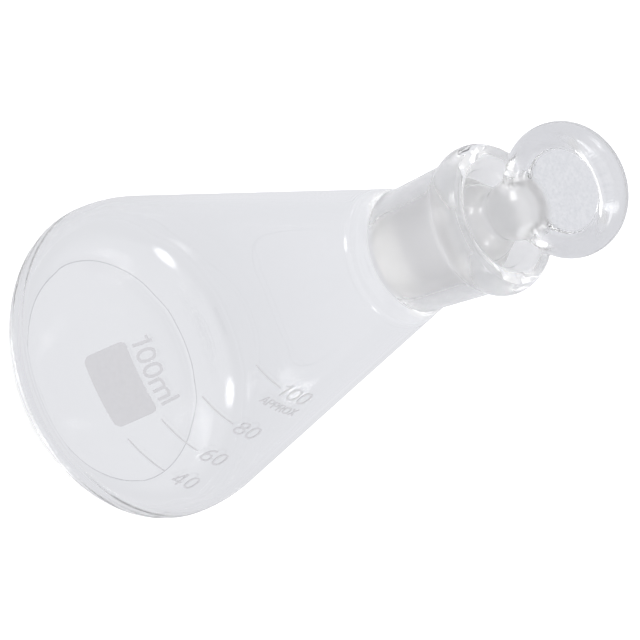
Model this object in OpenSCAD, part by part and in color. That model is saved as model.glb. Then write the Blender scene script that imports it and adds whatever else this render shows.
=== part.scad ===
// Stoppered conical flask, 100 ml. Millimetres, +Z up.
// The origin is the centre of the base, on the plane the flask stands on.
// Azimuths turn anticlockwise seen from above, and azimuth 0 faces -Y.

/* [Flask body] */
// Largest radius of the body
body_r = 32; // [30:0.5:34]
// Height of the widest place above the base
heel_h = 9.4; // [8:0.1:11]
// How far the heel's lower curve reaches in from the side
heel_reach = 11.2; // [10:0.1:12]
// Radius of the curve between the widest place and the cone
side_r = 28.8; // [24:0.2:32]
// Lean of the conical wall from the vertical
cone_lean = 16.2; // [15.5:0.1:17]
// Thickness of the conical wall
wall = 1.4; // [1:0.1:2]
// Thickness of the base
base_wall = 1.8; // [1.4:0.1:2.4]
// Outer radius of the flat ring that the flask stands on
foot_r = 22.6; // [22:0.1:23]
// Width of the flat ring
foot_w = 1; // [0.8:0.1:1.5]
// Rise of the base's centre above the ring
push_up = 1.5; // [1:0.1:2]

/* [Socket] */
// Height of the seal between the blown body and the socket
seal_z = 78.5; // [77.5:0.1:79]
// Inner radius at the seal
seal_r = 10.6; // [10.4:0.1:11]
// Outer radius of the neck just above the shoulder
neck_r = 11.8; // [11.7:0.1:12]
// Gain in neck radius for each millimetre of height
neck_flare = 0.0665; // [0.05:0.001:0.07]
// Radius of the ground bore at its large end
joint_r = 9.4; // [9.3:0.05:9.5]
// Loss in bore radius for each millimetre of depth, 0.05 for a 1 in 10 taper
taper = 0.05; // [0.049:0.001:0.051]
// Height of the ground bore's large end
joint_top = 102.3; // [102:0.1:102.6]
// Height of the ground bore's small end
joint_bottom = 79.7; // [79.5:0.1:80.2]
// Radius of the rim's outer roll
rim_roll = 4.64; // [4.5:0.02:4.8]
// Distance of the roll's centre from the axis
rim_centre_r = 9.62; // [9.5:0.02:9.7]
// Height of the roll's centre
rim_centre_z = 101.56; // [101.4:0.02:101.7]
// Lean of the rim's outer face where the roll ends
rim_lean = 31; // [28:1:34]
// Height of the rim's outer edge
edge_z = 104.8; // [104.6:0.05:104.9]
// Radius of the mouth's inner curve
lip_roll = 2.9; // [2.7:0.05:3]

/* [Stopper] */
// Gap between the ground cone and its bore, square to the axis
fit_gap = 0.04; // [0.02:0.01:0.08]
// Height of the stopper's lower end
plug_bottom = 80.4; // [80.2:0.1:82]
// Height of the top of the ground cone
plug_top = 97.6; // [96:0.1:98]
// Radius of the stem's bulb
bulb_r = 5.75; // [5.5:0.05:6]
// Height of the bulb's centre
bulb_z = 108; // [107.6:0.1:108.4]
// Outer radius of the head
head_r = 12.5; // [12:0.1:13]
// Height of the head's centre
head_z = 119.7; // [119:0.1:120]
// Thickness of the head's rim across its faces
head_t = 7; // [6:0.2:8]
// Width of the head's rim along its radius
head_rim = 4.6; // [4:0.1:5]
// Thickness of the web inside the rim
web_t = 2.2; // [1.6:0.1:3]

/* [Enamel marks] */
// Thickness of the fired enamel
enamel_t = 0.08; // [0.06:0.01:0.12]
// Width of the writing patch
patch_w = 14.8; // [13:0.2:16]
// Height of the writing patch
patch_h = 9.5; // [8:0.1:10]
// Width of a graduation line
line_w = 0.3; // [0.2:0.05:0.4]

/* [Hidden] */
$fn = 96;
cone_z = heel_h + side_r * sin(cone_lean);
cone_r = body_r - side_r * (1 - cos(cone_lean));
glass = [0.78, 0.86, 0.88, 0.45];
enamel = [0.97, 0.97, 0.95];
// Height and azimuths of the two ends of each graduation line
LINES = [[22.5, 26.3, 46.5], [30.5, 26, 47.7], [40, 26, 46.6], [52.55, 25.4, 44.9]];

// Radius of the outside of the conical wall at height z
function wall_r(z) = cone_r - (z - cone_z) * tan(cone_lean);
// Radius of the outside of the neck at height z
function outer_neck_r(z) = neck_r + neck_flare * (z - shoulder_z);
shoulder_z = cone_z + (cone_r - neck_r) / tan(cone_lean);
// Radius of the ground bore at height z
function bore_r(z) = joint_r - taper * (joint_top - z);
// Points of an arc with half-axes a and b, centred at c, from angle t0 to t1
function arc(c, a, b, t0, t1, n) =
    [for (i = [0:n]) let (t = t0 + (t1 - t0) * i / n) [c.x + a * cos(t), c.y + b * sin(t)]];
// Section of a skin of thickness t on the conical wall between two heights
function skin_section(z0, z1, t) =
    [[wall_r(z0), z0], [wall_r(z0) + t, z0], [wall_r(z1) + t, z1], [wall_r(z1), z1]];
// Outline of an oval of width w and height h, a little squarer than an ellipse
function oval(w, h, n = 40) =
    [for (i = [0:n - 1]) let (t = 360 * i / n, k = 0.87)
        [w / 2 * sign(cos(t)) * pow(abs(cos(t)), k), h / 2 * sign(sin(t)) * pow(abs(sin(t)), k)]];

// The blown body, up to the seal
module conical_body() {
    heel_in = 1.5;
    outside = concat(
        [[foot_r - foot_w, 0], [foot_r, 0]],
        arc([body_r - heel_reach, heel_h], heel_reach, heel_h, -78, 0, 16),
        arc([body_r - side_r, heel_h], side_r, side_r, 2, cone_lean, 6),
        [[wall_r(seal_z), seal_z]]);
    inside = concat(
        [[seal_r, seal_z], [wall_r(75) - wall / cos(cone_lean), 75]],
        arc([body_r - side_r, heel_h], side_r - wall, side_r - wall, cone_lean, 2, 6),
        arc([body_r - heel_reach, heel_h], heel_reach - heel_in, heel_h - base_wall, 0, -75, 14),
        [for (r = [20:-2:0]) [r, base_wall + push_up * (1 - pow(r / foot_r, 2))]]);
    underside = [for (r = [0:2:20]) [r, push_up * (1 - pow(r / foot_r, 2))]];
    color(glass) rotate_extrude() polygon(concat(outside, inside, underside));
}

// The ground socket, sealed on to the body, with its rolled rim
module ground_neck_socket() {
    shoulder = 3;
    rim_foot_z = rim_centre_z - rim_roll * sin(49);
    lip_c = [joint_r + lip_roll, joint_top];
    face_z = rim_centre_z + rim_roll * sin(rim_lean);
    edge_r = rim_centre_r + rim_roll * cos(rim_lean) - (edge_z - face_z) * tan(rim_lean);
    outside = concat(
        [[wall_r(seal_z), seal_z], [wall_r(shoulder_z - shoulder / 2), shoulder_z - shoulder / 2]],
        [[neck_r + 0.15, shoulder_z], [outer_neck_r(shoulder_z + shoulder / 2), shoulder_z + shoulder / 2]],
        [[outer_neck_r(rim_foot_z), rim_foot_z]],
        arc([rim_centre_r, rim_centre_z], rim_roll, rim_roll, -47, rim_lean, 14),
        [[edge_r + 0.1, edge_z - 0.2], [edge_r - 0.2, edge_z + 0.1]]);
    inside = concat(
        arc(lip_c, lip_roll, lip_roll, 90, 180, 10),
        [[bore_r(joint_bottom), joint_bottom]],
        [[bore_r(joint_bottom) + 0.5, joint_bottom - 0.5], [seal_r, seal_z]]);
    color(glass) rotate_extrude() polygon(concat(outside, inside));
}

// The solid stopper: ground cone, shoulder, bulb and upright head
module stopper() {
    edge = 0.8;
    top_round = 1.5;
    bottom_r = bore_r(plug_bottom) - fit_gap;
    top_r = bore_r(plug_top) - fit_gap;
    dome_r = 5;
    dome_c = [2.3, 99.25];
    profile = concat(
        [[0, plug_bottom]],
        arc([bottom_r - edge, plug_bottom + edge], edge, edge, -90, -5, 5),
        arc([top_r - top_round, plug_top], top_round, top_round, 0, 55, 5),
        arc(dome_c, dome_r, dome_r, 8, 58, 10),
        arc([0, bulb_z], bulb_r, bulb_r, -34, 90, 24));
    color(glass) {
        rotate_extrude() polygon(profile);
        translate([0, 0, head_z]) rotate([90, 0, 0]) {
            rotate_extrude() polygon(arc([head_r - head_rim / 2, 0], head_rim / 2, head_t / 2, 0, 350, 35));
            cylinder(r = head_r - head_rim / 2, h = web_t, center = true);
        }
    }
}

// A thin skin of enamel on the conical wall between two heights
module skin(z0, z1) {
    t = enamel_t / cos(cone_lean);
    rotate_extrude() polygon(skin_section(z0, z1, t));
}

// Stands a flat outline square on the conical wall at an azimuth and height
module on_wall(azimuth, z) {
    rotate([0, 0, azimuth]) translate([0, -wall_r(z), z]) rotate([90 - cone_lean, 0, 0])
        translate([0, 0, -1]) linear_extrude(2) children();
}

// A straight stroke of width t from p to q
module bar(p, q, t) {
    d = (q - p) / norm(q - p);
    s = [-d.y, d.x] * t / 2;
    polygon([p - s, q - s, q + s, p + s]);
}

// A curved stroke of width t along an arc with half-axes a and b
module bow(c, a, b, t0, t1, t) {
    polygon(concat(arc(c, a + t / 2, b + t / 2, t0, t1, 16), arc(c, a - t / 2, b - t / 2, t1, t0, 16)));
}

// A closed round stroke of width t, w wide and h high over all
module loop(c, w, h, t) {
    translate(c) difference() {
        polygon(oval(w, h));
        polygon(oval(w - 2 * t, h - 2 * t));
    }
}

// A character of height h and stroke width t, centred on its own width
module character(c, h, t) {
    if (c == "0") loop([0, h / 2], 0.64 * h, h, t);
    if (c == "1") {
        bar([0.1 * h, 0], [0.1 * h, h], t);
        bar([-0.18 * h, 0.76 * h], [0.1 * h, 0.86 * h], t * 0.8);
    }
    if (c == "4") {
        bar([0.14 * h, 0], [0.14 * h, h], t);
        bar([-0.31 * h, 0.27 * h], [0.31 * h, 0.27 * h], t);
        bar([-0.27 * h, 0.25 * h], [0.11 * h, 0.97 * h], t);
    }
    if (c == "6") {
        loop([0, 0.31 * h], 0.62 * h, 0.62 * h, t);
        bow([0.12 * h, 0.3 * h], 0.43 * h - t / 2, 0.7 * h - t / 2, 78, 182, t);
    }
    if (c == "8") {
        loop([0, 0.28 * h], 0.63 * h, 0.56 * h, t);
        loop([0, 0.76 * h], 0.54 * h, 0.48 * h, t);
    }
    if (c == "A") {
        bar([-0.28 * h, 0], [0, h], t);
        bar([0.28 * h, 0], [0, h], t);
        bar([-0.2 * h, 0.3 * h], [0.2 * h, 0.3 * h], t);
    }
    if (c == "P" || c == "R") {
        bar([-0.22 * h, 0], [-0.22 * h, h], t);
        bar([-0.22 * h, h - t / 2], [0.06 * h, h - t / 2], t);
        bar([-0.22 * h, 0.45 * h], [0.06 * h, 0.45 * h], t);
        bow([0.05 * h, 0.725 * h - t / 4], 0.24 * h - t / 2, 0.275 * h - t / 4, -90, 90, t);
    }
    if (c == "R") bar([0.04 * h, 0.45 * h], [0.28 * h, 0], t);
    if (c == "O") loop([0, h / 2], 0.8 * h, h, t);
    if (c == "X") {
        bar([-0.28 * h, 0], [0.28 * h, h], t);
        bar([0.28 * h, 0], [-0.28 * h, h], t);
    }
    if (c == "m") for (i = [-1:1]) {
        x = i * 0.42 * h;
        bar([x, 0], [x, 0.6 * h], t);
        if (i < 1) bow([x + 0.21 * h, 0.53 * h], 0.21 * h, 0.2 * h - t / 2, 0, 180, t);
    }
    if (c == "l") bar([0, 0], [0, h], t);
}

// A row of characters on the wall: each entry is a character and the azimuth of its middle
module mark(row, z, h, t) {
    intersection() {
        skin(z - 0.6, z + h + 0.6);
        union() for (entry = row) on_wall(entry[1], z) character(entry[0], h, t);
    }
}

// The blank patch for writing on, with rounded corners
module writing_patch() {
    corner = 1.4;
    color(enamel) intersection() {
        skin(20, 34);
        on_wall(6.25, 26.9) union() {
            square([patch_w - 2 * corner, patch_h], center = true);
            square([patch_w, patch_h - 2 * corner], center = true);
            for (x = [-1, 1], y = [-1, 1])
                translate([x * (patch_w / 2 - corner), y * (patch_h / 2 - corner)]) circle(corner);
        }
    }
}

// The nominal capacity
module capacity_mark() {
    color(enamel) mark([["1", -7.1], ["0", -0.8], ["0", 6], ["m", 14.3], ["l", 20.6]], 32.4, 4.25, 0.62);
}

// The four graduation lines
module graduation_lines() {
    t = enamel_t / cos(cone_lean);
    color(enamel) for (g = LINES) {
        z0 = g[0] - line_w / 2;
        z1 = g[0] + line_w / 2;
        rotate([0, 0, g[1] - 90]) rotate_extrude(angle = g[2] - g[1]) polygon(skin_section(z0, z1, t));
    }
}

// The volumes beside the lines, and the word under the highest
module graduation_numerals() {
    h = 3.8;
    t = 0.42;
    color(enamel) {
        mark([["4", 54.3], ["0", 60.4]], 20.75, h, t);
        mark([["6", 53.2], ["0", 59.6]], 28.95, h, t);
        mark([["8", 52.1], ["0", 59]], 38.25, h, t);
        mark([["1", 47.6], ["0", 54.7], ["0", 62.1]], 50.9, h * 0.97, t);
        mark([["A", 45.8], ["P", 49.5], ["P", 53], ["R", 56.6], ["O", 60.8], ["X", 65.2]], 47.4, 2.1, 0.3);
    }
}

conical_body();
ground_neck_socket();
stopper();
writing_patch();
capacity_mark();
graduation_lines();
graduation_numerals();
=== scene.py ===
"""Looks of the stoppered 100 ml conical flask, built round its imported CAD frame.

Outlines are worked out in millimetres and turned into metres when a mesh is made. An azimuth turns
anticlockwise seen from above, and azimuth 0 faces -Y, the side of the volume marks.
"""

import math
import bpy
import numpy as np
from mathutils import Matrix, Vector


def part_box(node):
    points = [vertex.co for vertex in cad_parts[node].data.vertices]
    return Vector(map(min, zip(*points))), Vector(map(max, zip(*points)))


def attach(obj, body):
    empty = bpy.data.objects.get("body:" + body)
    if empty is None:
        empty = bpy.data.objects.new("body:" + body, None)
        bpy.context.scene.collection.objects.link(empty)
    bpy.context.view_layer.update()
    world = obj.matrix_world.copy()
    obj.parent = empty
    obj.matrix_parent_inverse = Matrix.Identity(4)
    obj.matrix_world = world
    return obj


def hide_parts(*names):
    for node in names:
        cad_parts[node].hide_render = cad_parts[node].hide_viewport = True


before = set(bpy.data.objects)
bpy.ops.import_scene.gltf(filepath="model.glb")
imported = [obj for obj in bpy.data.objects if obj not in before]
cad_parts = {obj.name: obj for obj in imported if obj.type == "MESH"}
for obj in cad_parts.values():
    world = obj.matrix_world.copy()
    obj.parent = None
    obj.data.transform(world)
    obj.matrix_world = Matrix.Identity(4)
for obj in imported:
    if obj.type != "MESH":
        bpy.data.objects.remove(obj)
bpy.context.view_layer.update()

MM = 0.001
# Segments round a turned piece, longest stretch of its outline, and the same at the seal's ripples
SEGMENTS = 256
LONGEST = 1.5
FINE = 0.12
FINE_REACH = 3.5

# The camera looks down on the marks with the flask's axis rising to the right of the picture.
CAMERA_PLACE = Vector((0.0, -0.5989, 0.5624))
CAMERA_AIM = Vector((0.00563, 0.0, 0.05515))
CAMERA_ROLL = math.radians(68.59)
CAMERA_LENS = 234.33

# The flask's outline, as in the CAD part
BODY_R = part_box("conical_body")[1].x / MM
SEAL_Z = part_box("conical_body")[1].z / MM
RIM_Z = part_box("ground_neck_socket")[1].z / MM
HEEL_H = 9.4
HEEL_REACH = 11.2
SIDE_R = 28.8
CONE_LEAN = math.radians(16.2)
WALL = 1.4
BASE_WALL = 1.8
FOOT_R = 22.6
PUSH_UP = 1.5
SHOULDER = (11.75, 83.2)
SHOULDER_FILLET = 8
NECK_FLARE = 0.0665
JOINT_R = 9.4
TAPER = 0.05
JOINT_TOP = 102.3
JOINT_BOTTOM = 79.7
# Where the grinding stops on the lip, and where the flare under the bore meets the cone's inside
GROUND_TOP = 104.9
FLARE_Z = 77.2
RIM_ROLL = 4.64
RIM_CENTRE = (9.62, 101.56)
RIM_LEAN = 31
EDGE_Z = 104.8
CREST_R = 0.4
LIP_ROLL = 2.9
# Half the width of the line on the foot, scuffed rough and tinted dull grey as painted contact shade
WORN_SHADE_REACH = 0.14
# Height of the ripples round the seal, and of the waves in the wall inside and outside
SEAL_MARK = 0.02
INNER_WAVE = 0.05
OUTER_WAVE = 0.012

# The stopper
PLUG_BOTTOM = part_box("stopper")[0].z / MM
PLUG_TOP = 97.6
FIT_GAP = 0.04
DOME_R = 5
DOME_CENTRE = (2.3, 99.25)
BULB_R = 5.75
BULB_Z = 108
HEAD_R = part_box("stopper")[1].x / MM
HEAD_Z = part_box("stopper")[1].z / MM - HEAD_R
HEAD_T = 7
HEAD_RIM = 4.6
WEB_T = 2.2
PLUG_EDGE = 0.8
PLUG_SHOULDER = 1.5
# Widths of the rounds between dome and plug, bulb and dome, web and ring, head and bulb
DOME_BLEND = 0.4
WAIST_BLEND = 1.6
RECESS_BLEND = 0.9
HEAD_BLEND = 1.2
# How far the milky glass of the stem runs into the head, and the grain of the web into its ring
STEM_REACH = 1.8
WEB_REACH = 0.3
# Cell of the grid that the stopper's surface is taken from
CELL = 0.25

GLASS_IOR = 1.473

# Surfaces that a ray may pass before it is dropped. Thick glass inside glass needs many.
BOUNCES = 96


# ---------------------------------------------------------------- outlines

def arc(centre, a, b, start, end, count):
    """Points of an elliptical arc with half-axes a and b, angles in degrees."""
    turns = np.radians(np.linspace(start, end, count + 1))
    return [(centre[0] + a * math.cos(t), centre[1] + b * math.sin(t)) for t in turns]


def fillet(before, corner, after, radius, count=8):
    """Points of the round that replaces a corner."""
    p, c, q = (np.array(v, float) for v in (before, corner, after))
    u = (p - c) / np.linalg.norm(p - c)
    v = (q - c) / np.linalg.norm(q - c)
    half = math.acos(np.clip(u @ v, -1, 1)) / 2
    reach = radius / math.tan(half)
    centre = c + (u + v) / np.linalg.norm(u + v) * radius / math.sin(half)
    start = c + u * reach - centre
    end = c + v * reach - centre
    turn = math.atan2(start[0] * end[1] - start[1] * end[0], start @ end)
    points = []
    for s in np.linspace(0, turn, count + 1):
        points.append((centre[0] + start[0] * math.cos(s) - start[1] * math.sin(s),
                       centre[1] + start[0] * math.sin(s) + start[1] * math.cos(s)))
    return points


def even(points, longest, low=-math.inf, high=math.inf):
    """The same outline, with the stretches that lie between two heights cut up where they are long."""
    out = [points[0]]
    for p, q in zip(points, points[1:]):
        between = low <= min(p[1], q[1]) and max(p[1], q[1]) <= high
        count = max(1, math.ceil(math.dist(p, q) / longest)) if between else 1
        for i in range(1, count + 1):
            s = i / count
            out.append((p[0] + (q[0] - p[0]) * s, p[1] + (q[1] - p[1]) * s))
    return out


CONE_Z = HEEL_H + SIDE_R * math.sin(CONE_LEAN)
CONE_R = BODY_R - SIDE_R * (1 - math.cos(CONE_LEAN))


def wall_r(z):
    return CONE_R - (z - CONE_Z) * math.tan(CONE_LEAN)


def neck_r(z):
    return SHOULDER[0] + NECK_FLARE * (z - SHOULDER[1])


def bore_r(z):
    return JOINT_R - TAPER * (JOINT_TOP - z)


def base_curve(z_edge):
    """The pushed-up base, as heights over radii from the axis to the ring."""
    return [(r, z_edge + PUSH_UP * (1 - (r / FOOT_R) ** 2)) for r in np.linspace(0, FOOT_R - 0.3, 22)]


def flask_outside():
    """The outside, from the middle of the base up to the crest of the rim."""
    heel = arc((BODY_R - HEEL_REACH, HEEL_H), HEEL_REACH, HEEL_H, -77, 0, 32)
    ring = fillet(base_curve(0)[-1], (FOOT_R, 0), heel[0], 0.5, 5)
    side = arc((BODY_R - SIDE_R, HEEL_H), SIDE_R, SIDE_R, 0, math.degrees(CONE_LEAN), 12)
    rim_foot = RIM_CENTRE[1] - RIM_ROLL * math.sin(math.radians(49))
    neck_top = (neck_r(rim_foot), rim_foot)
    shoulder = fillet(side[-1], SHOULDER, neck_top, SHOULDER_FILLET, 12)
    roll = arc(RIM_CENTRE, RIM_ROLL, RIM_ROLL, -49, RIM_LEAN, 24)
    bead = fillet(shoulder[-1], neck_top, roll[3], 1.2, 6)
    lip_edge = (JOINT_R + LIP_ROLL, RIM_Z)
    edge = (roll[-1][0] - (EDGE_Z - roll[-1][1]) * math.tan(math.radians(RIM_LEAN)), EDGE_Z)
    crest = fillet(roll[-1], edge, lip_edge, CREST_R, 6)
    return base_curve(0) + ring + heel[1:] + side[1:] + shoulder + bead + roll[4:] + crest


def flask_inside():
    """The inside, from the crest of the rim down to the middle of the base."""
    lip = arc((JOINT_R + LIP_ROLL, JOINT_TOP), LIP_ROLL, RIM_Z - JOINT_TOP, 90, 180, 20)
    bore_end = (bore_r(JOINT_BOTTOM), JOINT_BOTTOM)
    under = (wall_r(FLARE_Z) - WALL / math.cos(CONE_LEAN), FLARE_Z)
    side = arc((BODY_R - SIDE_R, HEEL_H), SIDE_R - WALL, SIDE_R - WALL, math.degrees(CONE_LEAN), 0, 12)
    heel = arc((BODY_R - HEEL_REACH, HEEL_H), HEEL_REACH - 1.5, HEEL_H - BASE_WALL, 0, -76, 28)
    base = [p for p in base_curve(BASE_WALL) if p[0] < heel[-1][0] - 2]
    return (lip + fillet(lip[-1], bore_end, under, 0.3, 4) + fillet(bore_end, under, side[0], 3.5, 14)
            + side + heel[1:] + base[::-1])


# ---------------------------------------------------------------- meshes

def mesh_object(name, points, faces, materials, face_material=None):
    """A smooth-shaded mesh object from points in millimetres."""
    mesh = bpy.data.meshes.new(name)
    mesh.from_pydata((np.asarray(points) * MM).tolist(), [], faces)
    for material in materials:
        mesh.materials.append(material)
    if face_material is not None:
        mesh.polygons.foreach_set("material_index", np.asarray(face_material, np.int32))
    mesh.polygons.foreach_set("use_smooth", np.ones(len(mesh.polygons), bool))
    mesh.update()
    obj = bpy.data.objects.new(name, mesh)
    bpy.context.scene.collection.objects.link(obj)
    return obj


def lathe(outline, ripple):
    """A closed solid of revolution. The outline starts and ends on the axis, and ripple(azimuth, z, i)
    gives how far a point of it stands out."""
    rings = outline[1:-1]
    turns = np.linspace(0, 2 * math.pi, SEGMENTS, endpoint=False)
    points = [(0, 0, outline[0][1])]
    for i, (r, z) in enumerate(rings):
        reach = r + ripple(turns, z, i) * min(1, r / 4)
        points += zip(reach * np.sin(turns), -reach * np.cos(turns), np.full(SEGMENTS, z))
    points.append((0, 0, outline[-1][1]))
    faces = []
    rows = []
    last = len(points) - 1
    for j in range(SEGMENTS):
        k = (j + 1) % SEGMENTS
        faces.append((0, 1 + k, 1 + j))
        rows.append(0)
        for i in range(len(rings) - 1):
            low = 1 + i * SEGMENTS
            high = low + SEGMENTS
            faces.append((low + j, low + k, high + k, high + j))
            rows.append(i + 1)
        end = 1 + (len(rings) - 1) * SEGMENTS
        faces.append((end + j, end + k, last))
        rows.append(len(rings))
    return points, faces, rows


# ---------------------------------------------------------------- the flask

def flask_ripple(inner_from):
    """The slight unevenness of blown glass: lines along the wall, stronger on the inside, and rings
    round the outside of the seal. Points from inner_from on are on the inside."""
    rng = np.random.default_rng(7)
    waves = [(k, rng.uniform(0, 2 * math.pi), rng.uniform(-0.05, 0.05)) for k in (2, 3, 5, 8, 13, 21)]

    def ripple(turns, z, i):
        size = INNER_WAVE if i >= inner_from and z < SEAL_Z else OUTER_WAVE
        uneven = sum(size / k ** 0.7 * np.cos(k * turns + phase + z * slant) for k, phase, slant in waves)
        if i >= inner_from:
            return uneven
        height = z - SEAL_Z
        coarse = math.exp(-(height / 2.5) ** 2) * np.sin(math.tau * z / 1.7 + 0.8 * np.sin(2 * turns))
        fine = math.exp(-(height / 1.1) ** 2) * np.sin(math.tau * z / 0.62 + np.sin(3 * turns))
        return uneven + SEAL_MARK * (coarse + fine)

    return ripple


def make_flask(clear, ground, worn_shaded):
    """The body and socket as one closed surface, because the real glass is fused at the seal."""
    is_clear, is_ground, is_worn_shaded = range(3)
    outside = even(even(flask_outside(), LONGEST), FINE, SEAL_Z - FINE_REACH, SEAL_Z + FINE_REACH)
    inside = even(flask_inside(), LONGEST)
    outline = outside + inside
    points, faces, rows = lathe(outline, flask_ripple(len(outside)))
    kind = []
    for i, (p, q) in enumerate(zip(outline, outline[1:] + outline[-1:])):
        r, z = (p[0] + q[0]) / 2, (p[1] + q[1]) / 2
        if i >= len(outside) and JOINT_BOTTOM - 0.2 < z < GROUND_TOP:
            kind.append(is_ground)
        # The standing line: scuffed glass, greyed as painted contact shade
        elif z < 0.1 and i < len(outside) and abs(r - FOOT_R) < WORN_SHADE_REACH:
            kind.append(is_worn_shaded)
        else:
            kind.append(is_clear)
    flask = mesh_object("flask_glass", points, faces, [clear, ground, worn_shaded], [kind[r] for r in rows])
    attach(flask, "flask")
    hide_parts("conical_body", "ground_neck_socket")


# ---------------------------------------------------------------- the stopper

def plug_outline():
    """Half the ground cone with its rounded ends."""
    bottom_r = bore_r(PLUG_BOTTOM) - FIT_GAP
    top_r = bore_r(PLUG_TOP) - FIT_GAP
    edge = arc((bottom_r - PLUG_EDGE, PLUG_BOTTOM + PLUG_EDGE), PLUG_EDGE, PLUG_EDGE, -90, -3, 8)
    shoulder = arc((top_r - PLUG_SHOULDER, PLUG_TOP), PLUG_SHOULDER, PLUG_SHOULDER, 0, 90, 20)
    return [(0, PLUG_BOTTOM)] + edge + shoulder + [(0, PLUG_TOP + PLUG_SHOULDER)]


def distance_to_outline(r, z, outline):
    """Signed distance from points (r, z) to a closed outline on the axis, negative inside."""
    nearest = np.full(r.shape, 1e9)
    inside = np.zeros(r.shape, bool)
    for (r0, z0), (r1, z1) in zip(outline, outline[1:]):
        dr, dz = r1 - r0, z1 - z0
        s = np.clip(((r - r0) * dr + (z - z0) * dz) / (dr * dr + dz * dz), 0, 1)
        nearest = np.minimum(nearest, (r - r0 - s * dr) ** 2 + (z - z0 - s * dz) ** 2)
        if z0 != z1:
            inside ^= ((z0 <= z) != (z1 <= z)) & (r < r0 + (z - z0) * dr / dz)
    return np.where(inside, -1, 1) * np.sqrt(nearest)


def blend(a, b, width):
    """The union of two fields with a rounded inner corner."""
    h = np.clip(0.5 + 0.5 * (b - a) / width, 0, 1)
    return b + (a - b) * h - width * h * (1 - h)


def stem_field(p, outline):
    """The turned part: the ground cone, the dome and the bulb, with a soft waist between them."""
    r, z = np.hypot(p[..., 0], p[..., 1]), p[..., 2]
    dome = np.hypot(np.maximum(r - DOME_CENTRE[0], 0), z - DOME_CENTRE[1]) - DOME_R
    bulb = np.hypot(r, z - BULB_Z) - BULB_R
    return blend(blend(distance_to_outline(r, z, outline), dome, DOME_BLEND), bulb, WAIST_BLEND)


def stopper_field(p, outline):
    """Negative inside the stopper, positive outside, about the distance to its surface in millimetres."""
    x, y, z = p[..., 0], p[..., 1], p[..., 2]
    a, b = HEAD_RIM / 2, HEAD_T / 2
    q = np.hypot(x, z - HEAD_Z) - (HEAD_R - a)
    e = np.sqrt((q / a) ** 2 + (y / b) ** 2) + 1e-6
    ring = e * (e - 1) / (np.sqrt((q / a ** 2) ** 2 + (y / b ** 2) ** 2) + 1e-6)
    web = np.maximum(np.abs(y) - WEB_T / 2, q)
    return blend(stem_field(p, outline), blend(ring, web, RECESS_BLEND), HEAD_BLEND)


def surface(field, low, high, step):
    """Points and quads of a field's zero surface: one point in each cell that the surface crosses."""
    axes = [np.arange(a, b, step) for a, b in zip(low, high)]
    grid = np.stack(np.meshgrid(*axes, indexing="ij"), -1)
    value = np.stack([field(plane) for plane in grid])
    inside = value < 0
    cells = tuple(n - 1 for n in value.shape)
    total = np.zeros(cells + (3,))
    count = np.zeros(cells)
    corners = [(i, j, k) for i in (0, 1) for j in (0, 1) for k in (0, 1)]

    def part(array, corner):
        return array[tuple(slice(c, c + n) for c, n in zip(corner, cells))]

    for a in corners:
        for axis in range(3):
            if a[axis]:
                continue
            b = tuple(c + (d == axis) for d, c in enumerate(a))
            va, vb = part(value, a), part(value, b)
            crossed = (va < 0) != (vb < 0)
            share = np.where(crossed, va / np.where(crossed, va - vb, 1), 0)
            place = np.array(a, float) + share[..., None] * (np.array(b) - np.array(a))
            total += np.where(crossed[..., None], place, 0)
            count += crossed
    used = count > 0
    number = np.full(cells, -1)
    number[used] = np.arange(used.sum())
    points = (np.argwhere(used) + total[used] / count[used][:, None]) * step + np.array(low)
    faces = []
    for axis in range(3):
        after = [slice(None)] * 3
        before = [slice(None)] * 3
        after[axis] = slice(1, None)
        before[axis] = slice(None, -1)
        change = inside[tuple(before)] != inside[tuple(after)]
        at = np.argwhere(change)
        u, v = np.eye(3, dtype=int)[(axis + 1) % 3], np.eye(3, dtype=int)[(axis + 2) % 3]
        ring = [number[tuple((at - o).T)] for o in (np.zeros(3, int), u, u + v, v)]
        quads = np.stack(ring, 1)
        outward = inside[tuple(at.T)]
        quads[~outward] = quads[~outward][:, ::-1]
        faces.append(quads)
    return points, np.concatenate(faces)


def slope_at(points, field, h=0.02):
    """The field's gradient."""
    return np.stack([(field(points + h * e) - field(points - h * e)) / (2 * h) for e in np.eye(3)], -1)


def settle(points, field, rounds):
    """Moves points onto the zero surface of the field."""
    for _ in range(rounds):
        slope = slope_at(points, field)
        steep = np.maximum((slope ** 2).sum(-1), 0.05)
        points = points - (field(points) / steep)[:, None] * slope
    return points


def relax(points, faces, share):
    """Moves each point part of the way to the middle of the points it shares an edge with."""
    total = np.zeros_like(points)
    count = np.zeros(len(points))
    for i in range(4):
        a, b = faces[:, i], faces[:, (i + 1) % 4]
        np.add.at(total, a, points[b])
        np.add.at(total, b, points[a])
        np.add.at(count, a, 1)
        np.add.at(count, b, 1)
    return points + share * (total / count[:, None] - points)


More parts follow.
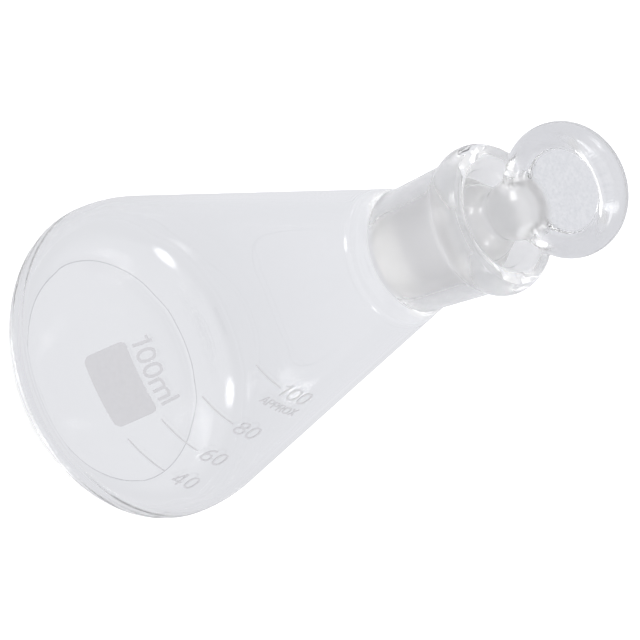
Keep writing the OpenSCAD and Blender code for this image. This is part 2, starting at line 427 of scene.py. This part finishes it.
def make_stopper(clear, ground, satin, pressed):
    """The solid stopper. A row of its points lies level with the ground cone's top, where the matt ends."""
    is_clear, is_ground, is_satin, is_pressed = range(4)
    outline = plug_outline()
    margin = 3 * CELL
    rows_below = math.ceil((PLUG_TOP - PLUG_BOTTOM) / CELL) + 3.5
    low = (-HEAD_R - margin, -JOINT_R - margin, PLUG_TOP - CELL * rows_below)
    high = (HEAD_R + margin, JOINT_R + margin, HEAD_Z + HEAD_R + margin)

    def field(p):
        return stopper_field(p, outline)

    points, faces = surface(field, low, high, CELL)
    for _ in range(3):
        points = settle(relax(points, faces, 0.5), field, 2)
    middle = points[faces].mean(1)
    in_head = np.hypot(middle[:, 0], middle[:, 2] - HEAD_Z)
    kind = np.full(len(faces), is_clear)
    kind[in_head < HEAD_R - HEAD_RIM + WEB_REACH] = is_pressed
    kind[stem_field(middle, outline) < STEM_REACH] = is_satin
    kind[middle[:, 2] < PLUG_TOP] = is_ground
    stopper = mesh_object("stopper_glass", points, faces.tolist(), [clear, ground, satin, pressed], kind)
    normals = slope_at(points, field, 0.12)
    normals /= np.linalg.norm(normals, axis=1)[:, None]
    stopper.data.normals_split_custom_set_from_vertices(normals.tolist())
    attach(stopper, "stopper")
    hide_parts("stopper")


# ---------------------------------------------------------------- materials

def new_material(name):
    material = bpy.data.materials.new(name)
    material.use_nodes = True
    shader = material.node_tree.nodes["Principled BSDF"]
    return material, material.node_tree, shader


def noise(tree, scale, detail=2.0, stretch=(1, 1, 1)):
    """Noise over the object, features about 1 / scale metres wide."""
    place = tree.nodes.new("ShaderNodeTexCoord")
    mapping = tree.nodes.new("ShaderNodeMapping")
    mapping.inputs["Scale"].default_value = stretch
    texture = tree.nodes.new("ShaderNodeTexNoise")
    texture.inputs["Scale"].default_value = scale
    texture.inputs["Detail"].default_value = detail
    tree.links.new(place.outputs["Object"], mapping.inputs["Vector"])
    tree.links.new(mapping.outputs["Vector"], texture.inputs["Vector"])
    return texture.outputs["Fac"]


def bump(tree, shader, height, depth):
    """Raises the surface by depth metres where the height is 1."""
    node = tree.nodes.new("ShaderNodeBump")
    node.inputs["Distance"].default_value = depth
    node.inputs["Strength"].default_value = 1.0
    tree.links.new(height, node.inputs["Height"])
    tree.links.new(node.outputs["Normal"], shader.inputs["Normal"])


def spread(tree, source, low, high):
    """Turns 0.3 to 0.7 of a noise into low to high."""
    node = tree.nodes.new("ShaderNodeMapRange")
    node.inputs["From Min"].default_value = 0.3
    node.inputs["From Max"].default_value = 0.7
    node.inputs["To Min"].default_value = low
    node.inputs["To Max"].default_value = high
    tree.links.new(source, node.inputs["Value"])
    return node.outputs["Result"]


def glass(name, tint):
    material, tree, shader = new_material(name)
    shader.inputs["Base Color"].default_value = (*tint, 1)
    shader.inputs["Transmission Weight"].default_value = 1.0
    shader.inputs["IOR"].default_value = GLASS_IOR
    shader.inputs["Roughness"].default_value = 0.0
    return material, tree, shader


def clear_glass():
    material, tree, shader = glass("clear_glass", (0.997, 0.998, 1.0))
    bump(tree, shader, noise(tree, 160, 1.0, (1, 1, 0.25)), 0.00002)
    return material


def ground_glass():
    material, tree, shader = glass("ground_glass", (1.0, 0.995, 0.99))
    grain = noise(tree, 2500, 3.0)
    tree.links.new(spread(tree, grain, 0.31, 0.39), shader.inputs["Roughness"])
    return material


def stopper_glass():
    material, tree, shader = glass("stopper_glass", (0.85, 0.85, 0.86))
    shader.inputs["Roughness"].default_value = 0.13
    bump(tree, shader, noise(tree, 320, 3.0), 0.00006)
    return material


def satin_glass():
    """The stopper's stem: milky with fine seed inside, under a smooth fire-polished skin."""
    material, tree, shader = glass("satin_glass", (1.0, 0.997, 0.99))
    shader.inputs["Roughness"].default_value = 0.28
    shader.inputs["Coat Weight"].default_value = 0.5
    shader.inputs["Coat Roughness"].default_value = 0.06
    bump(tree, shader, noise(tree, 260, 1.0), 0.00003)
    return material


def worn_shaded_glass():
    """The line that the flask stands on: scuffed rough, and tinted dull grey as painted shade where it
    meets the floor.
    """
    material, tree, shader = glass("worn_shaded_glass", (0.5, 0.5, 0.52))
    shader.inputs["Roughness"].default_value = 0.2
    return material


def pressed_glass():
    material, tree, shader = glass("pressed_glass", (0.96, 0.965, 0.97))
    grain = noise(tree, 1500, 2.0)
    bump(tree, shader, grain, 0.00006)
    # The web is tinted darker in the hollows of its grain and lighter on its bumps: painted shade of the
    # pebbling
    shade = tree.nodes.new("ShaderNodeMix")
    shade.data_type = "RGBA"
    shade.inputs["A"].default_value = (0.86, 0.87, 0.885, 1)
    shade.inputs["B"].default_value = (0.98, 0.98, 0.985, 1)
    tree.links.new(spread(tree, grain, 0, 1), shade.inputs["Factor"])
    tree.links.new(shade.outputs["Result"], shader.inputs["Base Color"])
    return material


def enamel():
    material, tree, shader = new_material("fired_enamel")
    shade = tree.nodes.new("ShaderNodeMix")
    shade.data_type = "RGBA"
    shade.inputs["A"].default_value = (0.54, 0.535, 0.55, 1)
    shade.inputs["B"].default_value = (0.59, 0.585, 0.6, 1)
    tree.links.new(noise(tree, 1200, 3.0), shade.inputs["Factor"])
    tree.links.new(shade.outputs["Result"], shader.inputs["Base Color"])
    tree.links.new(spread(tree, noise(tree, 3000, 2.0), 0.5, 0.65), shader.inputs["Roughness"])
    return material


# ---------------------------------------------------------------- stage, light, camera

def ramp(tree, source, low, high, at_low, at_high):
    """A smooth change from one value to another while the source goes from low to high."""
    node = tree.nodes.new("ShaderNodeMapRange")
    node.interpolation_type = "SMOOTHSTEP"
    node.inputs["From Min"].default_value = low
    node.inputs["From Max"].default_value = high
    node.inputs["To Min"].default_value = at_low
    node.inputs["To Max"].default_value = at_high
    tree.links.new(source, node.inputs["Value"])
    return node.outputs["Result"]


def for_camera(tree, seen, other):
    """One shader where the camera looks straight at it, another where glass and lit surfaces gather it."""
    path = tree.nodes.new("ShaderNodeLightPath")
    mix = tree.nodes.new("ShaderNodeMixShader")
    tree.links.new(path.outputs["Is Camera Ray"], mix.inputs[0])
    tree.links.new(other.outputs[0], mix.inputs[1])
    tree.links.new(seen.outputs[0], mix.inputs[2])
    return mix.outputs[0]


def make_floor():
    """A pale sweep. Seen through the glass it glows, dimmed under the flask by a painted shadow, and
    brighter far away.
    """
    half = 4.0
    below = -0.00001
    corners = [(x * half, y * half, below) for x, y in ((-1, -1), (1, -1), (1, 1), (-1, 1))]
    mesh = bpy.data.meshes.new("floor")
    mesh.from_pydata(corners, [], [(0, 1, 2, 3)])
    floor = bpy.data.objects.new("floor", mesh)
    bpy.context.scene.collection.objects.link(floor)
    material, tree, shader = new_material("pale_floor")
    shader.inputs["Base Color"].default_value = (0.8, 0.8, 0.8, 1)
    shader.inputs["Roughness"].default_value = 0.9
    shader.inputs["Specular IOR Level"].default_value = 0.0
    shader.inputs["Emission Color"].default_value = (1, 1, 1, 1)
    shader.inputs["Emission Strength"].default_value = 0.5
    glow = tree.nodes.new("ShaderNodeEmission")
    glow.inputs["Color"].default_value = (0.955, 0.963, 1.0, 1)
    place = tree.nodes.new("ShaderNodeTexCoord")
    away = tree.nodes.new("ShaderNodeVectorMath")
    away.operation = "LENGTH"
    tree.links.new(place.outputs["Object"], away.inputs[0])
    # Painted shadow: the glow is dimmer within a few centimetres of the flask's axis
    shadow_under_flask = ramp(tree, away.outputs["Value"], 0.03, 0.09, 0.77, 0.83)
    far = ramp(tree, away.outputs["Value"], 0.25, 0.6, 0.0, 0.06)
    both = tree.nodes.new("ShaderNodeMath")
    both.operation = "ADD"
    tree.links.new(shadow_under_flask, both.inputs[0])
    tree.links.new(far, both.inputs[1])
    tree.links.new(both.outputs[0], glow.inputs["Strength"])
    tree.links.new(for_camera(tree, shader, glow), tree.nodes["Material Output"].inputs["Surface"])
    mesh.materials.append(material)


def make_world():
    """White to the camera. The glass sees a soft grey room, brighter overhead and duller towards -Y."""
    world = bpy.data.worlds.new("studio")
    world.use_nodes = True
    tree = world.node_tree
    white = tree.nodes["Background"]
    white.inputs["Color"].default_value = (1, 1, 1, 1)
    white.inputs["Strength"].default_value = 1.1
    room = tree.nodes.new("ShaderNodeBackground")
    room.inputs["Color"].default_value = (0.985, 0.99, 1.0, 1)
    place = tree.nodes.new("ShaderNodeTexCoord")
    parts = tree.nodes.new("ShaderNodeSeparateXYZ")
    tree.links.new(place.outputs["Generated"], parts.inputs[0])
    level = tree.nodes.new("ShaderNodeMath")
    level.operation = "MULTIPLY"
    tree.links.new(ramp(tree, parts.outputs["Y"], -0.95, -0.7, 0.7, 1.0), level.inputs[0])
    tree.links.new(ramp(tree, parts.outputs["Z"], 0.3, 0.7, 0.84, 1.4), level.inputs[1])
    tree.links.new(level.outputs[0], room.inputs["Strength"])
    tree.links.new(for_camera(tree, white, room), tree.nodes["World Output"].inputs["Surface"])
    bpy.context.scene.world = world


def softbox(name, azimuth, elevation, width, height, radiance):
    """A rectangular light that faces the flask, brightest in its middle, sized by the angle it fills."""
    distance = 0.6
    aim = Vector((0, 0, 0.06))
    light = bpy.data.lights.new(name, "AREA")
    light.shape = "RECTANGLE"
    light.size = 2 * distance * math.tan(math.radians(width / 2))
    light.size_y = 2 * distance * math.tan(math.radians(height / 2))
    light.energy = radiance * math.pi * light.size * light.size_y
    light.use_nodes = True
    tree = light.node_tree
    place = tree.nodes.new("ShaderNodeNewGeometry")
    from_middle = tree.nodes.new("ShaderNodeVectorMath")
    from_middle.operation = "DISTANCE"
    from_middle.inputs[1].default_value = (0.5, 0.5, 0)
    tree.links.new(place.outputs["Parametric"], from_middle.inputs[0])
    tree.links.new(ramp(tree, from_middle.outputs["Value"], 0.15, 0.55, 1.0, 0.05),
                   tree.nodes["Emission"].inputs["Strength"])
    a, e = math.radians(azimuth), math.radians(elevation)
    away = Vector((math.sin(a) * math.cos(e), -math.cos(a) * math.cos(e), math.sin(e)))
    lamp = bpy.data.objects.new(name, light)
    lamp.location = aim + away * distance
    lamp.rotation_mode = "QUATERNION"
    lamp.rotation_quaternion = away.to_track_quat("Z", "Y")
    bpy.context.scene.collection.objects.link(lamp)


def make_camera():
    data = bpy.data.cameras.new("camera")
    data.lens = CAMERA_LENS
    data.clip_start = 0.01
    data.clip_end = 20
    camera = bpy.data.objects.new("camera", data)
    look = (CAMERA_AIM - CAMERA_PLACE).to_track_quat("-Z", "Y").to_matrix()
    turn = look @ Matrix.Rotation(CAMERA_ROLL, 3, "Z")
    camera.matrix_world = Matrix.Translation(CAMERA_PLACE) @ turn.to_4x4()
    bpy.context.scene.collection.objects.link(camera)
    bpy.context.scene.camera = camera


make_camera()
make_world()
make_floor()
softbox("softbox_left", -52, 33, 22, 30, 9.0)
softbox("softbox_right", 70, 30, 22, 26, 8.0)

ground = ground_glass()
make_flask(clear_glass(), ground, worn_shaded_glass())
make_stopper(stopper_glass(), ground, satin_glass(), pressed_glass())
fired = enamel()
for name in ("writing_patch", "capacity_mark", "graduation_lines", "graduation_numerals"):
    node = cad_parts[name]
    node.data.materials.clear()
    node.data.materials.append(fired)

scene = bpy.context.scene
scene.view_settings.view_transform = "Standard"
scene.cycles.max_bounces = BOUNCES
scene.cycles.transmission_bounces = BOUNCES
scene.cycles.glossy_bounces = BOUNCES
